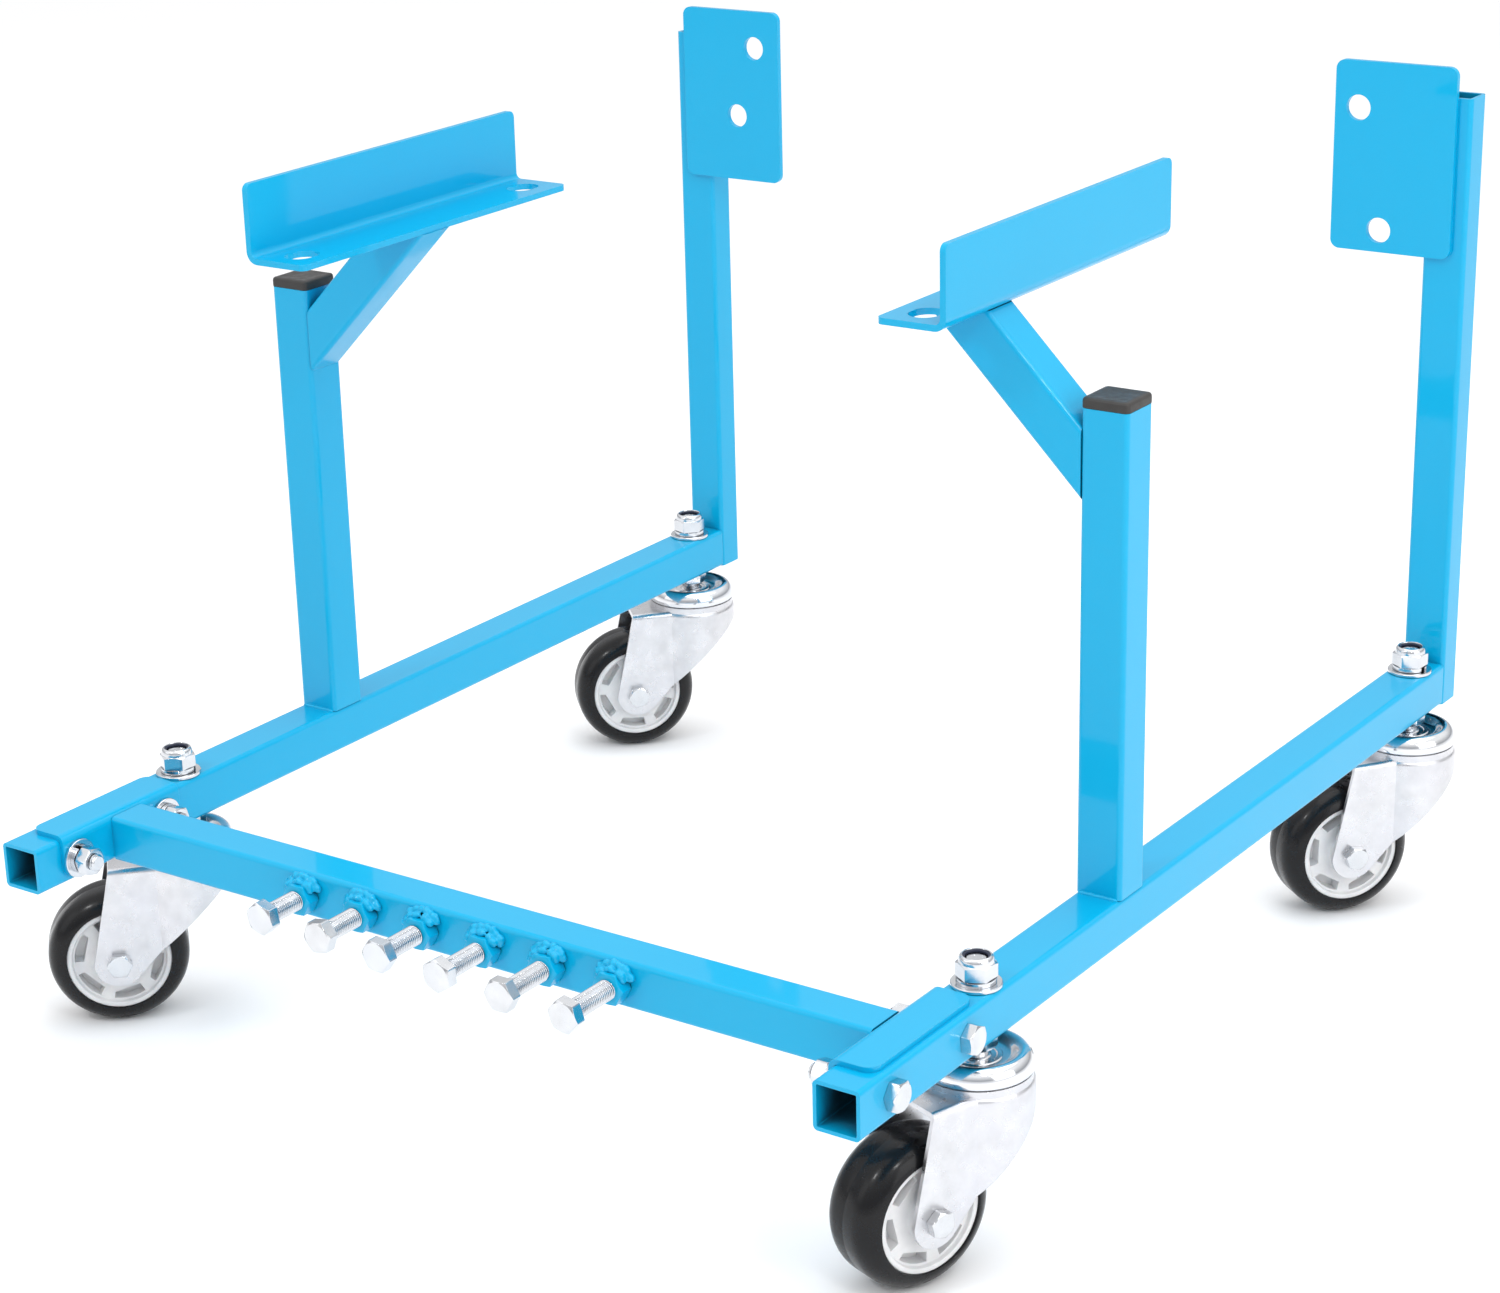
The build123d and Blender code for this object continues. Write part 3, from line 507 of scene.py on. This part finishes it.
long_low, long_high = box_mm("crossbar_bolts")
clamp_corner = M14["flats"] * CORNER_RATIO / 2
clamp_ys = (long_low.y + clamp_corner, long_high.y - clamp_corner)
clamp_z = (long_low.z + long_high.z) / 2
CLAMP_TURNS = {"left": (8.0, 37.0), "right": (22.0, 5.0)}
SADDLE = 4.0
WASHER = 3.0
SPRING = 4.0
TIP = 5.0
CLAMP_WASHER_RADIUS = 16.0
CLAMP_SPRING_RADIUS = 11.9
bolt_shapes, washer_shapes, spring_shapes, nut_shapes = [], [], [], []
for side in SIDES:
    for y, degrees in zip(clamp_ys, CLAMP_TURNS[side]):
        outside = (RAIL_X[side] + SIGN[side] * tube / 2, y, clamp_z)
        length = tube + SADDLE + WASHER + SPRING + M14["nut"] + TIP
        place = turned(stand_at(outside, (SIGN[side], 0, 0)), degrees)
        bolt_shapes.append(moved(bolt(M14, length), place))
        depth = SADDLE
        for made, shape, thickness in (
            (washer_shapes, bevelled_ring(M14["radius"] + 0.5, CLAMP_WASHER_RADIUS, WASHER), WASHER),
            (spring_shapes, split_ring(M14["radius"] + 0.4, CLAMP_SPRING_RADIUS, SPRING), SPRING),
            (nut_shapes, nut(M14, M14["nut"]), M14["nut"]),
        ):
            seat = (RAIL_X[side] - SIGN[side] * (tube / 2 + depth), y, clamp_z)
            made.append(moved(shape, turned(stand_at(seat, (-SIGN[side], 0, 0)), 2 * degrees)))
            depth += thickness
build("crossbar_bolts_threaded", joined(bolt_shapes), "frame", "zinc_hardware",
      ["crossbar_bolts"], CUT_CREASE)
build("crossbar_bolt_washers_eased", joined(washer_shapes), "frame", "zinc_hardware",
      ["crossbar_bolt_washers"])
build("crossbar_bolt_springs", joined(spring_shapes), "frame", "zinc_hardware",
      ["crossbar_bolt_spring_washers"])
build("crossbar_bolt_nuts_cut", joined(nut_shapes), "frame", "zinc_hardware",
      ["crossbar_bolt_nuts"], CUT_CREASE)


# ---- casters ---------------------------------------------------------------
def lock_nut():
    """Nylon-insert lock nut: a hexagon under a tall rolled collar that holds the insert."""
    body = hexagon(M18["flats"], 11.6, 11.0)
    collar = [(10.0, 11.0), (10.0, 12.9), (12.6, 13.1), (14.4, 12.9), (15.8, 12.3), (16.6, 11.5)]
    collar += [(16.95, 10.8), (16.7, 10.2), (16.0, 10.0), (15.6, 10.9)]
    return joined([body, lathe(collar)])


def race_cap():
    """Dished cap over the upper race: stepped floor, rolled rim and skirt."""
    outer = [
        (-17.0, 8.0), (-17.0, 14.6), (-16.2, 15.2), (-16.2, 18.4), (-17.0, 19.2), (-17.0, 23.4),
        (-16.5, 25.0), (-15.3, 26.6), (-13.6, 28.4), (-12.2, 30.0), (-11.3, 31.8), (-11.0, 33.8),
        (-11.3, 35.8), (-12.2, 37.7), (-13.6, 39.3), (-15.5, 40.7), (-18.0, 41.7), (-21.0, 42.3),
        (-24.4, 42.5), (-25.0, 42.2), (-25.0, 40.6),
    ]
    inner = [(-21.0, 40.2), (-16.5, 38.6), (-13.6, 35.0), (-13.6, 32.0), (-19.3, 24.0), (-19.3, 8.0)]
    return lathe(outer + inner, 128)


def stem():
    """Caster stem: threaded shank, hexagon collar, round neck and kingpin."""
    top = tube + WASHER + SPRING + M18["nut"]
    shank = thread(top, M18["radius"], M18["pitch"], 1.9)
    collar = hexagon(M18["flats"], M18["collar"], 0.0, both_ends=True)
    collar = moved(collar, Matrix.Translation((0, 0, -M18["collar"])))
    neck = lathe([(-10, 0), (-10, 9.6), (-12, 9.0), (-15.5, 9.0), (-16.4, 10.4), (-17, 11.0), (-17, 0)])
    kingpin = lathe([(-17, 0), (-17, 8.0), (-36.2, 8.0), (-37.5, 6.8), (-37.5, 0)])
    return joined([shank, collar, neck, kingpin])


STEM_TURNS = (14.0, 48.0, 27.0, 5.0)
washers, springs, nuts, inserts, stems, caps = [], [], [], [], [], []
for caster, degrees in zip(casters, STEM_TURNS):
    stems.append(moved(stem(), turned(caster.upright(0), degrees)))
    caps.append(moved(race_cap(), caster.upright(0)))
    washers.append(moved(bevelled_ring(9.5, 19.0, WASHER, 0.6), caster.upright(tube)))
    place = turned(caster.upright(tube + WASHER), 5 * degrees)
    springs.append(moved(split_ring(9.3, 14.8, SPRING), place))
    seat = tube + WASHER + SPRING
    nuts.append(moved(lock_nut(), turned(caster.upright(seat), degrees)))
    insert = lathe([(14.0, 8.6), (14.0, 11.0), (15.8, 11.0), (16.0, 10.4), (15.6, 8.6)])
    inserts.append(moved(insert, caster.upright(seat)))
build("caster_stems_threaded", joined(stems), "frame", "zinc_hardware", ["caster_stems"], CUT_CREASE)
build("caster_race_caps_drawn", joined(caps), "frame", "bright_zinc", ["caster_race_caps"])
build("stem_washers_eased", joined(washers), "frame", "zinc_hardware", ["stem_washers"])
build("stem_springs", joined(springs), "frame", "zinc_hardware", ["stem_spring_washers"])
build("stem_lock_nuts_rolled", joined(nuts), "frame", "zinc_hardware", ["stem_lock_nuts"], ROLLED_CREASE)
build("stem_lock_nut_rings", joined(inserts), "frame", "insert_nylon", ["stem_lock_nut_inserts"])


def tyre():
    """Tyre round across the tread, with a bead lip and a thin moulding line round the middle."""
    seat, shoulder, flat = 44.0, 18.5, 9.0
    centre = 59.5 - shoulder
    half = []
    for step in range(15):
        angle = math.asin((seat + 1.4 - centre) / shoulder)
        angle += (math.pi / 2 - angle) * step / 14
        half.append((flat + shoulder * math.cos(angle), centre + shoulder * math.sin(angle)))
    lip = [(25.4, seat), (26.4, seat + 0.1), (27.0, seat + 0.6)]
    tread = [(0.9, 59.5), (0.5, 59.42)]
    right = lip + half + tread
    left = [(-x, r) for x, r in reversed(right)]
    return lathe(right + left, 144)


def wheel_core():
    """Wheel core: rim ring, recessed face with six pockets cut to a chord, and a hub boss."""
    pockets, half_angle, chord, skew = 6, math.radians(21.0), 28.6, 0.10
    deep, shallow = 11.0, 21.6
    columns = []
    for pocket in range(pockets):
        middle = 2 * math.pi * pocket / pockets
        spoke = math.pi / pockets
        for offset in (-spoke, -half_angle - 0.10, -half_angle):
            columns.append((middle + offset, middle, max(offset, -half_angle), False))
        for step in range(13):
            offset = (-1 + step / 6) * (half_angle - 0.03)
            columns.append((middle + offset, middle, offset, True))
        for offset in (half_angle, half_angle + 0.10):
            columns.append((middle + offset, middle, min(offset, half_angle), False))
    points = []
    for angle, middle, offset, inside in columns:
        near = chord / math.cos(offset - skew)
        floor = deep if inside else shallow
        side = [
            (29.8, 13.0), (29.8, 17.2), (29.3, 17.9), (23.4, 18.3), (22.3, 19.6), (shallow + 0.2, 22.0),
            (shallow, near), (floor, near + 0.8), (floor, 36.9), (shallow, 37.6), (22.0, 39.0),
            (22.6, 39.5), (24.9, 39.9), (25.4, 40.5), (25.4, 43.4), (25.0, 44.0),
        ]
        ring = side + [(-x, r) for x, r in reversed(side)]
        points += [(r * math.cos(angle), r * math.sin(angle), x) for x, r in ring]
    return points, grid_faces(len(ring), len(columns), close_rows=True)


WHEEL_TURNS = {"front_left": 10.0, "front_right": 38.0, "rear_left": 52.0, "rear_right": 24.0}
AXLE_TURNS = {"front_left": 30.0, "front_right": 12.0, "rear_left": 41.0, "rear_right": 20.0}
for caster in casters:
    name = caster.name
    turn = math.radians(WHEEL_TURNS[name])
    middle = caster.along_axle(0, turn)
    build(f"{name}_tyre_moulded", moved(tyre(), middle), caster.wheel, "tyre_rubber", [f"{name}_tyre"])
    build(f"{name}_wheel_core_moulded", moved(wheel_core(), middle), caster.wheel, "wheel_nylon",
          [f"{name}_wheel_core"], 30.0)
    turn = math.radians(AXLE_TURNS[name])
    axle = bolt(M12, 2 * FORK_OUTER + M12["nut"] + TIP, 1.4)
    build(f"{name}_axle_bolt_threaded", moved(axle, caster.along_axle(FORK_OUTER, turn)), caster.swivel,
          "zinc_hardware", [f"{name}_axle_bolt"], CUT_CREASE)
    far = caster.along_axle(-FORK_OUTER, turn, -1)
    build(f"{name}_axle_nut_cut", moved(nut(M12, M12["nut"]), far), caster.swivel, "zinc_hardware",
          [f"{name}_axle_nut"], CUT_CREASE)


# ---- plastic caps on the middle posts --------------------------------------
def rounded_loop(half, corner, z, inset=0.0):
    """Points round a square with rounded corners, drawn in by an inset."""
    points = []
    corner = max(corner - inset, 0.3)
    reach = half - inset - corner
    for quarter in range(4):
        angle0 = quarter * math.pi / 2
        cx, cy = ((1, 1), (-1, 1), (-1, -1), (1, -1))[quarter]
        for step in range(9):
            angle = angle0 + step * math.pi / 16
            x = cx * reach + corner * math.cos(angle)
            y = cy * reach + corner * math.sin(angle)
            points.append((x, y, z))
    return points


def post_cap(half):
    """Tube cap: flange as wide as the tube, eased top with a shallow dish, and a plug."""
    rows = [(-16.0, 6.0), (-16.0, 4.6), (-1.2, 4.6), (-0.6, 1.2), (0.2, 0.5), (0.6, 0.0), (5.4, 0.0)]
    rows += [(6.7, 0.35), (7.6, 1.2), (8.0, 2.6), (8.0, 5.2), (7.7, 6.4), (7.7, 14.0)]
    loops = [rounded_loop(half, 4.3, z, inset) for z, inset in rows]
    count = len(loops[0])
    points = [loops[row][i] for i in range(count) for row in range(len(rows))]
    faces = grid_faces(len(rows), count)
    faces.append(tuple(i * len(rows) for i in reversed(range(count))))
    faces.append(tuple(i * len(rows) + len(rows) - 1 for i in range(count)))
    return points, faces


for side in SIDES:
    low, high = box_mm(f"{side}_post_cap")
    post_top = box_mm(f"{side}_post")[1].z
    place = Matrix.Translation(((low.x + high.x) / 2, (low.y + high.y) / 2, post_top))
    cap = moved(post_cap((high.x - low.x) / 2), place)
    build(f"{side}_post_cap_moulded", cap, "frame", "cap_plastic", [f"{side}_post_cap"])


# ---- weld beads ------------------------------------------------------------
def bead(path, radius, seed, ripple=3.4):
    """Weld bead along points in millimetres: a lumpy, rippled tube, thin at its ends."""
    around = 12
    spots = [Vector(p) for p in path]
    stations = []
    for start, end in zip(spots, spots[1:]):
        steps = max(2, round((end - start).length / 1.0))
        stations += [start.lerp(end, step / steps) for step in range(steps)]
    stations.append(spots[-1])
    points, travelled = [], 0.0
    for index, spot in enumerate(stations):
        before = stations[max(index - 1, 0)]
        after = stations[min(index + 1, len(stations) - 1)]
        travelled += (spot - before).length
        frame_here = stand_at(spot, after - before)
        end_gap = min(index, len(stations) - 1 - index) / 3
        size = radius * (0.35 + 0.65 * min(end_gap, 1.0) ** 0.5)
        size *= 1 + 0.09 * math.sin(2 * math.pi * travelled / ripple)
        for step in range(around):
            angle = 2 * math.pi * step / around
            lump = noise.noise(spot * 0.23 + Vector((seed, step * 0.13, 0))) * 0.25
            r = size * (1 + lump)
            points.append(tuple(frame_here @ Vector((r * math.cos(angle), r * math.sin(angle), 0))))
    faces = grid_faces(around, len(stations), close_rows=True, close_columns=False)
    last = (len(stations) - 1) * around
    faces += [tuple(reversed(range(around))), tuple(range(last, last + around))]
    return points, faces


def weld_rack_nuts():
    """Fat beads that run down both shoulders of each nut and out over the crossbar, joined on top."""
    shapes = []
    wall_y = nuts_high.y
    for i, x in enumerate(rack_x):
        for middle, spread_out, size in ((142, 34, 4.0), (52, 30, 3.7), (97, 22, 3.1)):
            for layer in range(2):
                reach = 16.0 - 2.4 * layer
                y = wall_y - 1.4 - 5.4 * layer
                path = []
                for step in range(7):
                    part = step / 3 - 1
                    degrees = middle + part * spread_out * (1 - 0.25 * layer) + 6 * math.sin(3.7 * i)
                    swing = math.radians(degrees)
                    r = reach + 1.1 * math.sin(5.1 * i + 2.3 * step + layer)
                    path.append((x + r * math.cos(swing), y, rack_z + r * math.sin(swing)))
                shapes.append(bead(path, size * (1 - 0.12 * layer), i + middle * 0.01 + layer, 5.0))
    return joined(shapes)


def weld_post_foot(node, z, seed, inset=2.5):
    """Beads on the front and back of an upright tube's foot."""
    low, high = box_mm(node)
    shapes = []
    for y, way in ((low.y, -1), (high.y, 1)):
        path = [(low.x + inset, y + 0.3 * way, z), (high.x - inset, y + 0.3 * way, z)]
        shapes.append(bead(path, 1.7, seed + way))
    return joined(shapes)


def melt(piece, cell):
    """Runs overlapping beads together into one smooth mass; cell is in metres."""
    fuse = piece.modifiers.new("fuse", "REMESH")
    fuse.mode = "VOXEL"
    fuse.voxel_size = cell
    fuse.use_smooth_shade = True
    ease = piece.modifiers.new("ease", "SMOOTH")
    ease.iterations = 5
    ease.factor = 0.6


WELD_CELL = 0.0006
rack_welds = build("rack_nut_welds", weld_rack_nuts(), "frame", "blue_paint", crease=WELD_CREASE)
melt(rack_welds, WELD_CELL)
foot_welds = joined([weld_post_foot(f"{side}_post", rail_top + 0.2, 3.0) for side in SIDES])
build("post_foot_welds", foot_welds, "frame", "blue_paint", crease=WELD_CREASE)


# ---- floor, lights and camera ----------------------------------------------
FLOOR = 60.0


def floor():
    """Plain, flat, pale floor, far wider than the stand."""
    mesh = bpy.data.meshes.new("floor")
    work = bmesh.new()
    bmesh.ops.create_grid(work, x_segments=2, y_segments=2, size=FLOOR)
    work.to_mesh(mesh)
    work.free()
    look = Look("floor_white", (0.93, 0.93, 0.935), Roughness=0.85)
    look.set("Base Color", look.mix(look.noise(3.0), (0.925, 0.925, 0.93), (0.94, 0.94, 0.945)))
    mesh.materials.append(look.material)
    ground = bpy.data.objects.new("floor", mesh)
    bpy.context.scene.collection.objects.link(ground)
    ground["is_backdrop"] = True


def softbox(name, place, target, size, power):
    """Rectangular white area light aimed at a point."""
    light = bpy.data.lights.new(name, "AREA")
    light.shape = "RECTANGLE"
    light.size, light.size_y = size
    light.energy = power
    lamp = bpy.data.objects.new(name, light)
    bpy.context.scene.collection.objects.link(lamp)
    lamp.location = place
    lamp.rotation_mode = "QUATERNION"
    lamp.rotation_quaternion = (Vector(target) - Vector(place)).to_track_quat("-Z", "Y")


def camera():
    """Camera at the photograph's angle, in metres and degrees."""
    azimuth, elevation, roll = math.radians(36.48), math.radians(19.99), math.radians(-2.01)
    back = Vector((math.sin(azimuth) * math.cos(elevation), -math.cos(azimuth) * math.cos(elevation),
                   math.sin(elevation)))
    right = Vector((math.cos(azimuth), math.sin(azimuth), 0))
    up = back.cross(right)
    turned_right = right * math.cos(roll) + up * math.sin(roll)
    turned_up = up * math.cos(roll) - right * math.sin(roll)
    data = bpy.data.cameras.new("camera")
    data.sensor_width = 36.0
    data.lens = 79.94
    data.shift_x = 0.0667
    data.shift_y = 0.0090
    data.clip_end = 100.0
    eye = bpy.data.objects.new("camera", data)
    matrix = Matrix((turned_right, turned_up, back)).transposed().to_4x4()
    matrix.translation = Vector((1.5115, -2.1704, 1.2489))
    eye.matrix_world = matrix
    bpy.context.scene.collection.objects.link(eye)
    bpy.context.scene.camera = eye


def studio():
    """World light: pale up to the horizon, a grey band just above it, white overhead."""
    world = bpy.data.worlds.new("studio")
    world.use_nodes = True
    nodes, links = world.node_tree.nodes, world.node_tree.links
    sky = nodes["Background"]
    height = nodes.new("ShaderNodeSeparateXYZ")
    ramp = nodes.new("ShaderNodeValToRGB")
    direction = nodes.new("ShaderNodeTexCoord")
    links.new(direction.outputs["Generated"], height.inputs[0])
    links.new(height.outputs["Z"], ramp.inputs["Fac"])
    links.new(ramp.outputs["Color"], sky.inputs["Color"])
    stops = ramp.color_ramp.elements
    stops[0].position = 0.12
    stops[0].color = (0.34, 0.35, 0.37, 1)
    haze = stops.new(0.06)
    haze.color = (0.86, 0.86, 0.87, 1)
    stops[-1].position = 0.62
    stops[-1].color = (1.0, 1.0, 1.0, 1)
    sky.inputs["Strength"].default_value = 1.15
    bpy.context.scene.world = world
    bpy.context.scene.view_settings.view_transform = "Standard"


floor()
softbox("overhead", (0.6, 0.3, 3.2), (0, 0, 0.3), (3.0, 3.0), 37.0)
softbox("right_side", (3.4, -0.4, 1.5), (0, 0, 0.3), (2.6, 2.2), 34.0)
softbox("front_left", (-2.4, -3.0, 1.6), (0, 0, 0.3), (2.0, 1.8), 8.0)
softbox("key", (-0.9, -2.6, 2.9), (0, 0, 0.2), (0.45, 0.45), 18.0)
softbox("key_right", (2.2, -1.7, 3.0), (0, 0, 0.2), (0.40, 0.40), 14.0)
studio()
camera()

low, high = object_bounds()
